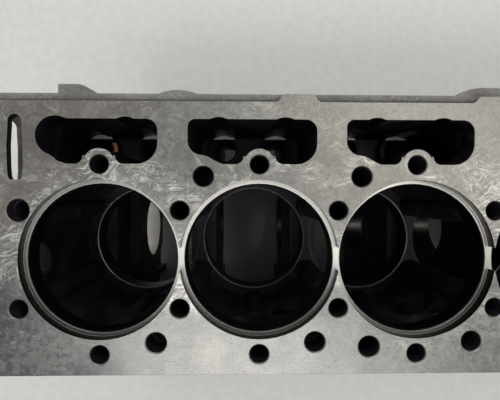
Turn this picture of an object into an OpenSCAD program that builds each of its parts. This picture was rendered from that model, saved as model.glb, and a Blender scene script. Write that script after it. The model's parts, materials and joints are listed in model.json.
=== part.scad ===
// Six-cylinder in-line diesel engine block for wet liners and pushrod valve gear,
// with its main bearing caps, cap bolts, camshaft bushings, plugs and dowels.
// X runs along the crankshaft, Y across it with the camshaft on the +Y side, Z up.
// The origin is under the middle of the block, in the plane of the sump rail.

/* [Cylinder bank] */
// Distance between neighbouring cylinder axes
bore_pitch = 137; // [135:0.5:139]
// Distance from the first and last main bearing to the end faces
end_bearing = 25.5; // [24:0.5:29]
// Height of the deck above the crankshaft axis
deck_height = 357; // [345:1:370]
// Depth of the skirt below the crankshaft axis
skirt_depth = 95; // [92:1:110]

/* [Liner seats] */
// Diameter of the flange recess at the top of each cylinder
recess_d = 137.8; // [136:0.1:138.4]
// Depth of the flange recess
recess_depth = 8.9; // [6:0.1:11]
// Diameter of the upper liner pilot
pilot_d = 130; // [126:0.5:131]
// Depth of the lower edge of the upper pilot
pilot_depth = 27; // [24:0.5:30]
// Diameter of the lower liner pilot
lower_pilot_d = 129; // [125:0.5:130]
// Depth of the top of the lower pilot, which is the floor of the water jacket
lower_pilot_top = 163; // [159:1:166]
// Height of the lower pilot
lower_pilot_h = 28; // [24:1:30]
// Width of the relief milled through the web between two recesses
relief_w = 20; // [16:1:24]
// Length of the relief along the bank
relief_l = 4; // [3:0.5:6]

/* [Water jacket] */
// Diameter of the jacket round each liner
jacket_d = 152; // [148:0.5:154]
// Thickness of the outer wall of the jacket
jacket_wall = 9; // [7:0.5:11]
// Diameter of the core plug holes
core_hole_d = 40; // [34:1:42]
// Depth of the core plug centres below the deck
core_drop = 86; // [80:1:92]
// Offset of the core plugs along the bank from their cylinders
core_offset = 38; // [34:0.5:42]
// Thickness of the sheet the cup plugs are pressed from
cup_t = 2; // [1.5:0.1:2.5]
// Depth of a core plug cup
cup_h = 10; // [8:0.5:12]
// Distance a cup plug is driven in below its face
cup_set = 1.5; // [1:0.1:3]
// Diameter of the coolant inlet in the front face
inlet_d = 34; // [28:1:36]
// Depth of the coolant inlet below the deck
inlet_drop = 50; // [47:1:54]
// Offset of the coolant inlet from the cylinder line
inlet_offset = 8; // [4:1:10]

/* [Oil cooler pad] */
// Height of the joint face of the pad
cooler_h = 66; // [60:1:72]
// Length of the pad before the fourth cylinder axis
cooler_before = 20; // [16:1:24]
// Length of the pad after the fifth cylinder axis
cooler_after = 62; // [56:1:64]
// Distance of the bolt rows from the edges of the pad
cooler_edge = 8; // [7:0.5:10]
// Distance of the last bolts from the ends of the pad
cooler_end = 10; // [8:0.5:12]
// Diameter of the tapped holes in the pad
cooler_bolt_d = 8.5; // [6.5:0.1:9]
// Diameter of the two ports
cooler_port_d = 24; // [20:1:28]
// Offset of the ports inwards from the fourth and fifth cylinder axes
cooler_port_x = 27; // [24:1:34]

/* [Deck] */
// Distance from the cylinder line to the plain edge of the deck
deck_plain = 99.2; // [98:0.2:103]
// Distance from the cylinder line to the edge of the deck on the pushrod side
deck_chamber = 135.5; // [134.5:0.1:137]
// Thickness of the deck flange at its edges
deck_t = 18; // [15:0.5:22]
// Diameter of the head bolt holes
head_bolt_d = 16.1; // [14:0.1:17]
// Depth of the head bolt holes
head_bolt_depth = 104; // [90:1:112]
// Diameter of the posts round the head bolt holes
post_d = 27; // [25:0.5:28]
// Offset of the head bolts abreast of each cylinder
bolt_abreast = 81.8; // [81.2:0.1:82.4]
// Offset of the head bolts between the cylinders
bolt_between = 42.2; // [41:0.1:43.5]
// Diameter of the ring dowel recess
dowel_recess_d = 19.2; // [18:0.1:21]
// Depth of the ring dowel recess
dowel_recess_h = 10; // [6:0.5:14]
// Diameter of the coolant holes
coolant_d = 17.4; // [15:0.1:18]
// Offset of the coolant holes along the bank
coolant_x = 48.3; // [47.5:0.1:49]
// Offset of the coolant holes across the bank
coolant_y = 71.6; // [71:0.1:72.2]
// Diameter of the oil feed hole
oil_hole_d = 18.1; // [15:0.1:18.5]
// Offset of the oil feed hole along the bank from its cylinder
oil_hole_x = 41.5; // [41:0.1:42.5]
// Offset of the oil feed hole across the bank
oil_hole_y = 75.9; // [75.5:0.1:76.5]
// Width of the drain slot at the front end
slot_w = 13.8; // [12:0.2:15]
// Length of the drain slot
slot_l = 55.6; // [50:0.2:58]
// Distance from the front face to the middle of the slot
slot_inset = 23.3; // [22.5:0.1:25]
// Distance from the cylinder line to the far end of the slot
slot_far = 124.1; // [122:0.1:125]
// Chamfer at the mouths of the holes and bores
mouth = 1; // [0.6:0.1:1.2]

/* [Pushrod chambers] */
// Distance from the cylinder line to the tappets and the camshaft axis
tappet_row = 106; // [105.5:0.1:106.5]
// Offset of the tappet before each cylinder axis
tappet_before = 35.2; // [34.5:0.1:36]
// Offset of the tappet after each cylinder axis
tappet_after = 22.4; // [22:0.1:23]
// Diameter of the tappet bores
tappet_d = 25; // [22:0.5:26]
// Depth of the tappet boss faces below the deck
tappet_drop = 100; // [94:1:104]
// Diameter of the cutter that faces the tappet bosses
facing_d = 32.8; // [32:0.1:33.4]
// Depth of the chamber floor below the boss faces
floor_drop = 12; // [8:0.5:15]
// Distance from the cylinder line to the near side of the chambers
chamber_near = 82; // [81.7:0.1:82.4]
// Distance from the cylinder line to the far side of the chambers
chamber_far = 120.6; // [120:0.1:121]

/* [Crankcase] */
// Diameter of the main bearing bores
main_bore_d = 105; // [98:0.5:108]
// Thickness of the bulkheads
bulkhead_t = 34; // [32:0.5:38]
// Extra length of the first main bearing, on its inner side
front_web = 13; // [8:0.5:15]
// Width across the sump rail
rail_w = 356; // [350:1:362]
// Thickness of the sump rail
rail_t = 15; // [12:0.5:18]
// Thickness of the crankcase walls
case_wall = 10; // [8:0.5:12]
// Thickness of the outside ribs
rib_t = 11; // [8:0.5:14]
// Height of the outside ribs above the wall
rib_h = 7; // [5:0.5:9]
// Diameter of the sump bolt holes
sump_hole_d = 8.5; // [7:0.1:9.5]
// Number of sump bolts on each side
sump_bolts = 13; // [9:2:15]
// Distance of the sump bolts from the edges of the rail
sump_edge = 9; // [8.5:0.5:10]
// Distance of the last sump bolts from the end faces
sump_ends = 14; // [12:0.5:18]
// Spacing of the engine mount holes along the block
mount_gap_x = 80; // [70:1:90]
// Spacing of the engine mount holes in height
mount_gap_z = 52; // [44:1:56]
// Diameter of the tapped holes in the engine mount pads
mount_hole_d = 14; // [10:0.5:16]
// Thickness of the end flanges
end_flange_t = 18; // [15:0.5:22]
// Diameter of the tapped holes in the end faces
face_hole_d = 10.2; // [8.5:0.1:11]
// Depth of the tapped holes in the end faces and pads
face_hole_h = 24; // [18:1:28]

/* [Main bearing caps] */
// Thickness of each cap along the crankshaft
cap_t = 30; // [26:0.5:31]
// Width of each cap in its register
cap_w = 172; // [168:0.5:176]
// Height of each cap below the crankshaft axis
cap_h = 74; // [71:0.5:76]
// Height of the bolt seats above the foot of each cap
cap_seat = 16; // [13:0.5:18]
// Spacing of the two bolts of a cap
cap_bolt_gap = 136; // [134:0.5:138]
// Diameter of the cap bolts
cap_bolt_d = 16; // [14:0.5:17]
// Length of the bolts in the block
cap_bolt_grip = 62; // [50:1:70]
// Clearance of the bolts in the caps, on the diameter
cap_bolt_play = 1; // [0.6:0.1:1.5]

/* [Camshaft] */
// Height of the camshaft axis above the crankshaft axis
cam_height = 150; // [147:0.5:153]
// Diameter of the bushing bores
cam_bore_d = 66; // [62:0.5:68]
// Wall of the cam bushings
bush_wall = 3; // [2:0.1:4]
// Length of the cam bushings
bush_l = 26; // [22:0.5:30]
// Swing of the cam lobes and gears that the crankcase clears
cam_swing_d = 84; // [80:1:86]

/* [Oil gallery] */
// Diameter of the main oil gallery
gallery_d = 16; // [13:0.5:18]
// Distance from the cylinder line to the gallery
gallery_y = 98; // [97:0.5:100]
// Diameter of the gallery boss
gallery_boss_d = 34; // [30:0.5:36]
// Length of the threaded gallery plugs
gallery_plug_l = 15; // [12:0.5:18]
// Diameter of the drillings to the main bearings
main_feed_d = 9; // [7:0.5:10]
// Diameter of the drillings to the cam bushings
cam_feed_d = 7; // [5:0.5:8]

/* [Locating dowels] */
// Diameter of the free ends of the stepped dowels
pin_d = 12; // [10:0.5:13]
// Diameter of their pressed ends in the block
pin_root_d = 14; // [13.5:0.5:16]
// Length of the dowels outside the end faces
pin_out = 8; // [6:0.5:10]
// Length of the dowels inside the block
pin_in = 14; // [12:0.5:16]
// Distance of the dowels from the edges of the sump rail
pin_side = 34; // [30:1:38]
// Height of the dowels above the sump rail
pin_up = 40; // [36:1:46]

/* [Hidden] */
$fn = 96;

cylinders = 6;
half_l = bore_pitch * cylinders / 2 + end_bearing;         // half the length of the block
zc = skirt_depth;                                          // crankshaft axis
zd = skirt_depth + deck_height;                            // deck
z_seat = zd - recess_depth;                                // liner seats
z_jt = zd - pilot_depth;                                   // roof of the jacket
z_jf = zd - lower_pilot_top;                               // floor of the jacket
z_lp = z_jf - lower_pilot_h;                               // lower edge of the lower pilots
z_tap = zd - tappet_drop;                                  // tappet boss faces
z_cf = z_tap - floor_drop;                                 // chamber floor
z_cam = zc + cam_height;                                   // camshaft axis
cam_r = cam_swing_d / 2;
z_gal = z_lp + 4;                                          // gallery axis
z_edge = zd - deck_t;                                      // underside of the deck flange
z_blend = z_edge - 14;                                     // where the flange has run out into the walls
rw = rail_w / 2;
wall_y = jacket_d / 2 + jacket_wall;                       // outside of the jacket wall
valley_y = bolt_between + post_d / 2 + 3;                  // wall in the valleys between the barrels
far_y = chamber_far + 11;                                  // outside of the chamber wall
band_y = deck_chamber + 9;                                 // cast band below the deck edge
band_drop = 10;                                            // top of the band below the deck
band_t = 24;
core_boss = 3;                                             // core plug bosses in front of the jacket wall
bay_w = bore_pitch - bulkhead_t;
case_y = rw - 18;                                          // outside of the crankcase walls
pad_y = rw - 4;                                            // engine mount faces
knee_low = [8, 62];                                        // the plain wall slopes in: how far, and how high
knee_high = [30, 118];                                     // above the crankshaft axis
knee_cam = [6, 52];                                        // the same on the camshaft side
main_feed_z = zc + main_bore_d / 2 - 6;                    // oil drillings end inside the main bores
bush_r = cam_bore_d / 2 - bush_wall;
z_bolt = zc - cap_h + cap_seat;                            // seats of the cap bolts
cup_end_h = cup_h - 2;                                     // depth of the cam end plug
eps = 1;

cored = [0, 1, 2, 5];                                      // cylinders with a core plug beside them
z_core = zd - core_drop;                                   // core plug centres
z_cool = (z_jt + z_jf) / 2;                                // middle of the oil cooler pad
pad_t = 12;                                                // oil cooler pad in front of the jacket wall
cool_x = [cyl_x(3) - cooler_before, cyl_x(4) + cooler_after];
port_x = [cyl_x(3) + cooler_port_x, cyl_x(4) - cooler_port_x];
mount_x = -bore_pitch * 1.5;                               // engine mount pads
mount_z = zc + 2;
slot_x = slot_inset - half_l;
oil_x = cyl_x(2) - oil_hole_x;                             // oil feed hole
tappets = [-tappet_before, tappet_after];

function cyl_x(i) = (i - (cylinders - 1) / 2) * bore_pitch;
function main_x(i) = (i - cylinders / 2) * bore_pitch;
function web(i) = i == 0 ? front_web : 0;                  // what the first bearing has over the others
function cap_x(i) = main_x(i) + web(i) / 2;                // middle of a cap

// ---- helpers ----------------------------------------------------------------

// A profile drawn as (y, z), run along X
module along_x(x0, x1) {
    translate([x0, 0, 0]) rotate([90, 0, 90]) linear_extrude(height = x1 - x0) children();
}
module rod_x(x0, x1, y, z, d) {
    translate([x0, y, z]) rotate([0, 90, 0]) cylinder(d = d, h = x1 - x0);
}
module rod_y(y0, y1, x, z, d) {
    translate([x, y1, z]) rotate([90, 0, 0]) cylinder(d = d, h = y1 - y0);
}
module rod_z(z0, z1, x, y, d) {
    translate([x, y, z0]) cylinder(d = d, h = z1 - z0);
}
module box_at(x0, x1, y0, y1, z0, z1) {
    translate([x0, y0, z0]) cube([x1 - x0, y1 - y0, z1 - z0]);
}
// Chamfer cutters at the mouth of a hole that opens at z, upwards or downwards, or at x on an end face
module mouth_up(x, y, z, d) {
    translate([x, y, z - mouth]) cylinder(d1 = d, d2 = d + 2 * (mouth + eps), h = mouth + eps);
}
module mouth_down(x, y, z, d) {
    translate([x, y, z - eps]) cylinder(d1 = d + 2 * (mouth + eps), d2 = d, h = mouth + eps);
}
module mouth_x(s, x, y, z, d) {
    translate([x - s * mouth, y, z]) rotate([0, s * 90, 0])
        cylinder(d1 = d, d2 = d + 2 * (mouth + eps), h = mouth + eps);
}
// A drilling in a plane across the block, from one point to another
module drill(x, a, b, d) {
    len = norm(b - a);
    ang = atan2(b[1] - a[1], b[0] - a[0]);
    translate([x, a[0], a[1]]) rotate([ang - 90, 0, 0]) cylinder(d = d, h = len);
}
// The waste outside a rounded corner; q names the quarter by its signs
module corner_waste(x, y, r, q) {
    difference() {
        translate([q[0] > 0 ? x : x - r - eps, q[1] > 0 ? y : y - r - eps]) square(r + eps);
        translate([x, y]) circle(r = r);
    }
}

// ---- deck -------------------------------------------------------------------

// Flared tab on the deck edge from a to b, out to y
module tab_2d(a, b, y) {
    flare = [[-4, deck_chamber - 10], [-4, deck_chamber], [-1.2, deck_chamber + 1.8], [0.6, y - 1.5], [2.2, y]];
    last = len(flare) - 1;
    polygon(concat([for (k = [0 : last]) [a + flare[k][0], flare[k][1]]],
                   [for (k = [last : -1 : 0]) [b - flare[k][0], flare[k][1]]]));
}
module deck_2d() {
    tab = [cyl_x(1) + 18.8, cyl_x(1) + 48.9];
    translate([-half_l, -deck_plain]) square([2 * half_l, deck_plain + deck_chamber]);
    for (ends = [tab, [-tab[1], -tab[0]]]) tab_2d(ends[0], ends[1], deck_chamber + 6.8);
    tab_2d(-16, 16, deck_chamber + 5.6);
}

// ---- outside of the casting --------------------------------------------------

// Section of the casting between its end flanges
module body_2d() {
    plain_side = [[-rw, 0], [-rw, rail_t], [-case_y - 4, rail_t + 5], [-case_y, zc],
                  [-case_y + knee_low[0], zc + knee_low[1]], [-case_y + knee_high[0], zc + knee_high[1]],
                  [-gallery_y - 8, z_gal - 26], [-gallery_y, z_gal + gallery_boss_d / 2],
                  [-wall_y, z_gal + gallery_boss_d / 2 + 4], [-valley_y, z_jf + 5], [-valley_y, z_blend],
                  [-deck_plain, z_edge], [-deck_plain, zd]];
    cam_side = [[deck_chamber, zd], [deck_chamber, z_edge], [far_y, z_blend], [far_y, z_tap - 40],
                [tappet_row + 40, z_cam + 26], [tappet_row + 42, z_cam - 34],
                [case_y - knee_cam[0], zc + knee_cam[1]], [case_y, zc], [case_y + 4, rail_t + 5],
                [rw, rail_t], [rw, 0]];
    polygon(concat(plain_side, cam_side));
    translate([tappet_row, z_cam]) circle(d = cam_swing_d + 2 * case_wall);
    translate([-gallery_y, z_gal]) circle(d = gallery_boss_d);
}
// Outline of the ribs, which stand h out of the walls; the inner edges are buried in the casting
module rib_2d(h) {
    buried = 60;
    top = z_edge - 4;
    polygon([[-rw + 2, rail_t - 2], [-rw + 2, rail_t + 6], [-case_y - h, rail_t + 26], [-case_y - h, zc],
             [-case_y + knee_low[0] - h, zc + knee_low[1]], [-case_y + knee_high[0] - h, zc + knee_high[1]],
             [-gallery_y - 8, z_gal - 20], [-buried, z_gal - 20], [-buried, rail_t - 2]]);
    polygon([[rw - 2, rail_t - 2], [rw - 2, rail_t + 6], [case_y + h, rail_t + 26], [case_y + h, zc],
             [case_y - knee_cam[0] + h, zc + knee_cam[1]], [tappet_row + 42 + h, z_cam - 34],
             [tappet_row + 40 + h, z_cam + 26], [far_y + h, z_tap - 30], [far_y + h, top],
             [buried, top], [buried, rail_t - 2]]);
    polygon([[-wall_y - h, z_gal], [-wall_y - h, top], [-buried, top], [-buried, z_gal]]);
}
module front_flange_2d() {
    polygon([[-rw, 0], [-rw, zc + 40], [-rw + 22, zc + 105], [-gallery_y - 24, z_gal - 12],
             [-deck_plain, z_gal + 34], [-deck_plain, zd], [deck_chamber, zd], [deck_chamber + 10, zd - 30],
             [tappet_row + 56, z_cam + 66], [rw - 4, z_cam + 30], [rw, z_cam - 20], [rw, 0]]);
}
module rear_flange_2d() {
    polygon([[-rw, 0], [-rw, zc + 70], [-rw + 26, zc + 140], [-gallery_y - 28, z_gal],
             [-deck_plain, z_gal + 40], [-deck_plain, zd], [deck_chamber, zd], [deck_chamber + 6, zd - 34],
             [tappet_row + 54, z_cam + 70], [rw - 2, z_cam + 16], [rw, zc + 90], [rw, 0]]);
}
module mount_pads() {
    half_x = mount_gap_x / 2 + 15;
    half_z = mount_gap_z / 2 + 14;
    for (s = [-1, 1])
        box_at(mount_x - half_x, mount_x + half_x, s > 0 ? case_y - 22 : -pad_y, s > 0 ? pad_y : -case_y + 22,
               mount_z - half_z, mount_z + half_z);
}
// Oil cooler pad on the plain side, with its two ports
module cooler_pad() {
    box_at(cool_x[0], cool_x[1], -wall_y - pad_t, -wall_y + 4, z_cool - cooler_h / 2, z_cool + cooler_h / 2);
    for (x = port_x) rod_y(-wall_y - pad_t / 2, -jacket_d / 2 + 8, x, z_cool, cooler_port_d + 18);
}
// Lugs of the cast band below the deck edge: one at each end, one round boss beside it, one in the middle
module band_lugs() {
    end_lug = [cyl_x(0) - 38.8, cyl_x(0) - 3.1];
    end_y = deck_chamber + 17;
    root_y = far_y - 6;
    boss_x = cyl_x(1) - 71.5;
    for (s = [-1, 1]) scale([-s, 1, 1]) {
        hung(58) polygon([[end_lug[0], root_y], [end_lug[0], end_y - 1], [end_lug[0] + 1, end_y],
                          [end_lug[0] + 18, end_y], [end_lug[0] + 23, end_y - 1.4], [end_lug[1] - 1, band_y],
                          [end_lug[1] + 6, root_y]]);
        intersection() {
            rod_z(zd - 120, zd - band_drop, boss_x, band_y - 41.5, 90);
            box_at(boss_x - 28.5, boss_x + 31.5, root_y, band_y + 6, zd - 121, zd);
        }
    }
    hung(62) polygon([[-32, root_y], [-28, band_y], [-24, band_y + 3.4], [-16, band_y + 6], [-8, band_y + 7.2],
                      [9, band_y + 7.2], [10, band_y + 6], [12, root_y]]);
}
// A plan that hangs down from the cast band
module hung(h) {
    translate([0, 0, zd - band_drop - h]) linear_extrude(height = h) children();
}
// Barrels of the jacket wall with the posts and bosses that stand out of it
module barrels() {
    for (i = [0 : cylinders - 1]) {
        rod_z(z_gal, z_edge + 2, cyl_x(i), 0, 2 * wall_y);
        rod_z(z_gal, z_edge + 2, cyl_x(i), -bolt_abreast, post_d);
        rod_z(zd - 68, z_edge + 2, cyl_x(i) + coolant_x, -coolant_y, coolant_d + 14);
    }
    rod_z(z_gal, z_edge + 2, oil_x, -oil_hole_y, oil_hole_d + 10);
    for (i = cored)
        rod_y(-wall_y - core_boss, -jacket_d / 2 + 18, cyl_x(i) + core_offset, z_core, core_hole_d + 12);
}
module casting_outside() {
    along_x(-half_l, half_l) body_2d();
    translate([0, 0, z_edge]) linear_extrude(height = deck_t) deck_2d();
    box_at(-half_l, half_l, deck_chamber - 12, band_y, zd - band_drop - band_t, zd - band_drop);
    along_x(-half_l, -half_l + end_flange_t) front_flange_2d();
    along_x(half_l - end_flange_t, half_l) rear_flange_2d();
    for (i = [1 : cylinders - 1]) along_x(main_x(i) - rib_t / 2, main_x(i) + rib_t / 2) rib_2d(rib_h);
    for (i = [0 : cylinders - 1]) along_x(cyl_x(i) - rib_t / 2, cyl_x(i) + rib_t / 2) intersection() {
        rib_2d(rib_h - 1);
        translate([-rw, 0]) square([2 * rw, zc + 56]);
    }
    mount_pads();
    cooler_pad();
    band_lugs();
    barrels();
}

// ---- spaces inside ------------------------------------------------------------

// Plan of a pushrod chamber round its cylinder; the first one is cut short by the end of the block
module chamber_2d(first) {
    l = first ? -tappet_before - 1.8 : -61.6;
    difference() {
        union() {
            difference() {
                translate([l, chamber_near]) square([49.7 - l, chamber_far - chamber_near]);
                if (!first) {
                    corner_waste(l + 6.5, chamber_far - 6.5, 6.5, [-1, 1]);
                    corner_waste(l + 12, chamber_near + 19.8, 12, [-1, -1]);
                    polygon([[l - 1, chamber_near - 1], [l - 1, chamber_near + 7.9],
                             [l + 12, chamber_near + 7.85], [l + 17, chamber_near + 6.5], [-35.5, chamber_near + 1.4], [-31.4, chamber_near],
                             [-31.4, chamber_near - 1]]);
                }
                corner_waste(39.7, chamber_far - 10, 10, [1, 1]);
                corner_waste(31.7, chamber_near + 18, 18, [1, -1]);
            }
            if (first) {
                translate([l, tappet_row]) circle(r = facing_d / 2 + 0.6);
                polygon([[l - 8.2, tappet_row - 14.4], [l + 3, chamber_near + 2.4], [l + 10, chamber_near],
                         [l + 10, tappet_row], [l - 8, tappet_row]]);
            }
            for (x = tappets) translate([x, tappet_row]) circle(d = facing_d);
        }
        if (first)
            polygon([[l - 30, chamber_near - 1], [l - 8.6, tappet_row - 15.2], [l + 2.4, chamber_near + 2.2],
                     [l + 9.4, chamber_near], [l + 9.4, chamber_near - 1]]);
        translate([0, bolt_abreast]) circle(d = post_d);
        corner_waste(-20.6, chamber_near + 7, 7, [1, -1]);
        corner_waste(20.6, chamber_near + 7, 7, [-1, -1]);
    }
}
module chambers() {
    for (i = [0 : cylinders - 1]) translate([cyl_x(i), 0, 0]) difference() {
        translate([0, 0, z_cf]) linear_extrude(height = zd - z_cf + eps) chamber_2d(i == 0);
        // bosses round the tappet bores
        for (x = tappets) rod_z(z_cf - eps, z_tap, x, tappet_row, tappet_d + 10);
    }
    for (i = [0 : cylinders - 1], x = tappets) {
        rod_z(z_cam, z_tap + eps, cyl_x(i) + x, tappet_row, tappet_d);
        mouth_up(cyl_x(i) + x, tappet_row, z_tap, tappet_d);
    }
}
module liner_seats() {
    for (i = [0 : cylinders - 1]) {
        rod_z(z_seat, zd + eps, cyl_x(i), 0, recess_d);
        rod_z(z_jt - 2, zd, cyl_x(i), 0, pilot_d);
        mouth_up(cyl_x(i), 0, z_seat, pilot_d);
        rod_z(z_lp - 4, z_jf + 2, cyl_x(i), 0, lower_pilot_d);
        mouth_up(cyl_x(i), 0, z_jf, lower_pilot_d);
    }
    for (i = [1 : cylinders - 1])
        translate([main_x(i) - relief_l / 2, -relief_w / 2, z_seat]) cube([relief_l, relief_w, zd + eps - z_seat]);
}
module jacket() {
    pocket = [zd - 62, zd - 22];
    difference() {
        for (i = [0 : cylinders - 1]) {
            rod_z(z_jf, z_jt, cyl_x(i), 0, jacket_d);
            // pockets under the coolant holes
            rod_z(pocket[0], pocket[1], cyl_x(i) + coolant_x, -coolant_y, coolant_d + 4);
            if (i > 0) rod_z(pocket[0], pocket[1], cyl_x(i) - coolant_x, coolant_y, coolant_d + 4);
        }
        for (i = [0 : cylinders - 1], s = [-1, 1]) post(cyl_x(i), s * bolt_abreast, post_d);
        for (i = [0 : cylinders], s = [-1, 1]) post(main_x(i), s * bolt_between, post_d);
        post(oil_x, -oil_hole_y, oil_hole_d + 9);
    }
    // coolant inlet at the front end
    rod_x(-half_l - eps, cyl_x(0), -inlet_offset, zd - inlet_drop, inlet_d);
    mouth_x(-1, -half_l, -inlet_offset, zd - inlet_drop, inlet_d);
}
// Iron left standing from the floor to the roof of the jacket
module post(x, y, d) {
    rod_z(z_jf - eps, z_jt + eps, x, y, d);
}
// Section of the crankcase inside its walls
module bay_2d() {
    wall = -case_y + case_wall;
    plain_side = [[wall, -eps], [wall, zc], [wall + knee_low[0], zc + knee_low[1] - 4],
                  [wall + knee_high[0], zc + knee_high[1] - 6], [-gallery_y + 4, z_lp - 38],
                  [-lower_pilot_d / 2 - 6, z_lp], [lower_pilot_d / 2 + 2, z_lp]];
    cam_side = [[tappet_row - 23, z_cam + cam_r - 8], [tappet_row + 28, z_cam + cam_r - 12],
                [tappet_row + 30, z_cam - 34], [-wall - knee_cam[0], zc + knee_cam[1] - 4], [-wall, zc],
                [-wall, -eps]];
    polygon(concat(plain_side, cam_side));
    translate([tappet_row, z_cam]) circle(r = cam_r);
}
// The first bulkhead is thicker round the crankshaft
module front_web_2d() {
    w = cap_w / 2 + 12;
    top = z_cam - cam_r - 8;
    polygon([[-w, -2 * eps], [-w, top - 45], [-w + 28, top], [w - 28, top], [w, top - 45], [w, -2 * eps]]);
}
module bays() {
    difference() {
        for (i = [0 : cylinders - 1]) along_x(cyl_x(i) - bay_w / 2, cyl_x(i) + bay_w / 2) bay_2d();
        along_x(-half_l, main_x(0) + bulkhead_t / 2 + front_web) front_web_2d();
    }
    // cap registers in the bulkheads
    for (i = [0 : cylinders]) {
        x0 = i == 0 ? -half_l : main_x(i) - bulkhead_t / 2;
        x1 = i == cylinders ? half_l : main_x(i) + bulkhead_t / 2 + web(i);
        box_at(x0 - eps, x1 + eps, -cap_w / 2, cap_w / 2, -eps, zc);
        for (s = [-1, 1]) rod_z(zc - eps, zc + cap_bolt_grip, cap_x(i), s * cap_bolt_gap / 2, cap_bolt_d);
    }
    rod_x(-half_l - eps, half_l + eps, 0, zc, main_bore_d);
    rod_x(-half_l - eps, half_l + eps, tappet_row, z_cam, cam_bore_d);
    for (s = [-1, 1]) {
        mouth_x(s, s * half_l, 0, zc, main_bore_d);
        mouth_x(s, s * half_l, tappet_row, z_cam, cam_bore_d);
    }
}
module slot() {
    deep = 7;
    slope = 0.83;
    translate([slot_x, 0, zd - deep]) linear_extrude(height = deep + eps) slot_2d();
    // leads down and out through the front face
    multmatrix([[1, 0, slope, slot_x], [0, 1, 0, 0], [0, 0, 1, zd - deep + 0.5], [0, 0, 0, 1]])
        translate([0, 0, -50]) linear_extrude(height = 50) slot_2d();
}
module slot_2d() {
    w = slot_w / 2;
    near = slot_far - slot_l;
    translate([0, slot_far - 5.9]) circle(r = 5.9);
    polygon([[-5.7, slot_far - 7], [-w, slot_far - 26], [-w + 0.3, near + 12], [-5.9, near + 3], [-4.6, near],
             [5.2, near], [6.1, near + 2.4], [w, near + 10], [w - 0.2, slot_far - 22], [5.7, slot_far - 7]]);
}
// Feeds from a main bearing line's bore to its cam bushing
module cam_feed(i) {
    drill(main_x(i), [10, main_feed_z], [tappet_row - 20, z_cam - 18], cam_feed_d);
}
module oilways() {
    rod_x(-half_l - eps, half_l + eps, -gallery_y, z_gal, gallery_d);
    for (i = [0 : cylinders]) {
        drill(main_x(i), [-gallery_y, z_gal], [-10, main_feed_z], main_feed_d);
        cam_feed(i);
    }
    rod_z(z_gal, zd + eps, oil_x, -oil_hole_y, oil_hole_d);
    rod_y(-gallery_y, -oil_hole_y, oil_x, z_gal, 12);
}
module deck_hole(x, y, d, h) {
    rod_z(zd - h, zd + eps, x, y, d);
    mouth_up(x, y, zd, d);
}
module deck_holes() {
    for (i = [0 : cylinders - 1]) {
        for (s = [-1, 1]) deck_hole(cyl_x(i), s * bolt_abreast, head_bolt_d, head_bolt_depth);
        deck_hole(cyl_x(i) + coolant_x, -coolant_y, coolant_d, 40);
        if (i > 0) deck_hole(cyl_x(i) - coolant_x, coolant_y, coolant_d, 40);
    }
    for (i = [0 : cylinders], s = [-1, 1])
        deck_hole(main_x(i), s * bolt_between, head_bolt_d, head_bolt_depth);
    // ring dowel recesses at the two ends
    for (i = [0, cylinders]) deck_hole(main_x(i), bolt_between, dowel_recess_d, dowel_recess_h);
    mouth_up(oil_x, -oil_hole_y, zd, oil_hole_d);
}
// Holes round the end faces, as (y, z)
front_holes = [[-rw + 14, 22], [-rw + 14, zc + 20], [-rw + 36, zc + 92], [-deck_plain + 12, z_gal + 44],
               [-deck_plain + 13, zd - 62], [deck_chamber - 12, zd - 50], [tappet_row + 46, z_cam + 58],
               [rw - 16, z_cam + 4], [rw - 14, zc + 70], [rw - 14, zc], [rw - 14, 22]];
rear_holes = [[-rw + 14, 24], [-rw + 14, zc + 34], [-rw + 36, zc + 122], [-deck_plain + 12, z_gal + 50],
              [-deck_plain + 13, zd - 40], [0, zd - 52], [deck_chamber - 14, zd - 44],
              [tappet_row + 42, z_cam + 66], [rw - 18, z_cam - 4], [rw - 14, zc + 40], [rw - 14, 24]];
// A hole in the front (s = -1) or rear (s = 1) face
module end_hole(s, y, z, d, h) {
    rod_x(s > 0 ? half_l - h : -half_l - eps, s > 0 ? half_l + eps : -half_l + h, y, z, d);
}
module end_holes() {
    for (s = [-1, 1]) {
        for (p = s < 0 ? front_holes : rear_holes) {
            end_hole(s, p[0], p[1], face_hole_d, face_hole_h);
            mouth_x(s, s * half_l, p[0], p[1], face_hole_d);
        }
        for (side = [-1, 1]) end_hole(s, side * (rw - pin_side), pin_up, pin_root_d, pin_in);
    }
}
module sump_holes() {
    for (s = [-1, 1], i = [0 : sump_bolts - 1]) {
        x = (2 * i / (sump_bolts - 1) - 1) * (half_l - sump_ends);
        y = s * (rw - sump_edge);
        rod_z(-eps, rail_t + 5, x, y, sump_hole_d);
        mouth_down(x, y, 0, sump_hole_d);
    }
}
module mount_holes() {
    bottom = pad_y - face_hole_h + 6;
    for (s = [-1, 1], a = [-0.5, 0.5], b = [-0.5, 0.5])
        rod_y(s > 0 ? bottom : -pad_y - eps, s > 0 ? pad_y + eps : -bottom,
              mount_x + a * mount_gap_x, mount_z + b * mount_gap_z, mount_hole_d);
}
module cooler_holes() {
    per_row = 4;
    gap_x = (cool_x[1] - cool_x[0] - 2 * cooler_end) / (per_row - 1);
    gap_z = cooler_h - 2 * cooler_edge;
    face = -wall_y - pad_t - eps;
    for (a = [0 : per_row - 1], b = [-0.5, 0.5])
        rod_y(face, -wall_y + 2, cool_x[0] + cooler_end + a * gap_x, z_cool + b * gap_z, cooler_bolt_d);
    for (x = port_x) rod_y(face, -jacket_d / 2 + 14, x, z_cool, cooler_port_d);
}
module core_holes() {
    for (i = cored)
        rod_y(-wall_y - core_boss - eps, -jacket_d / 2 + 22, cyl_x(i) + core_offset, z_core, core_hole_d);
}

// ---- the pieces -----------------------------------------------------------------

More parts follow.
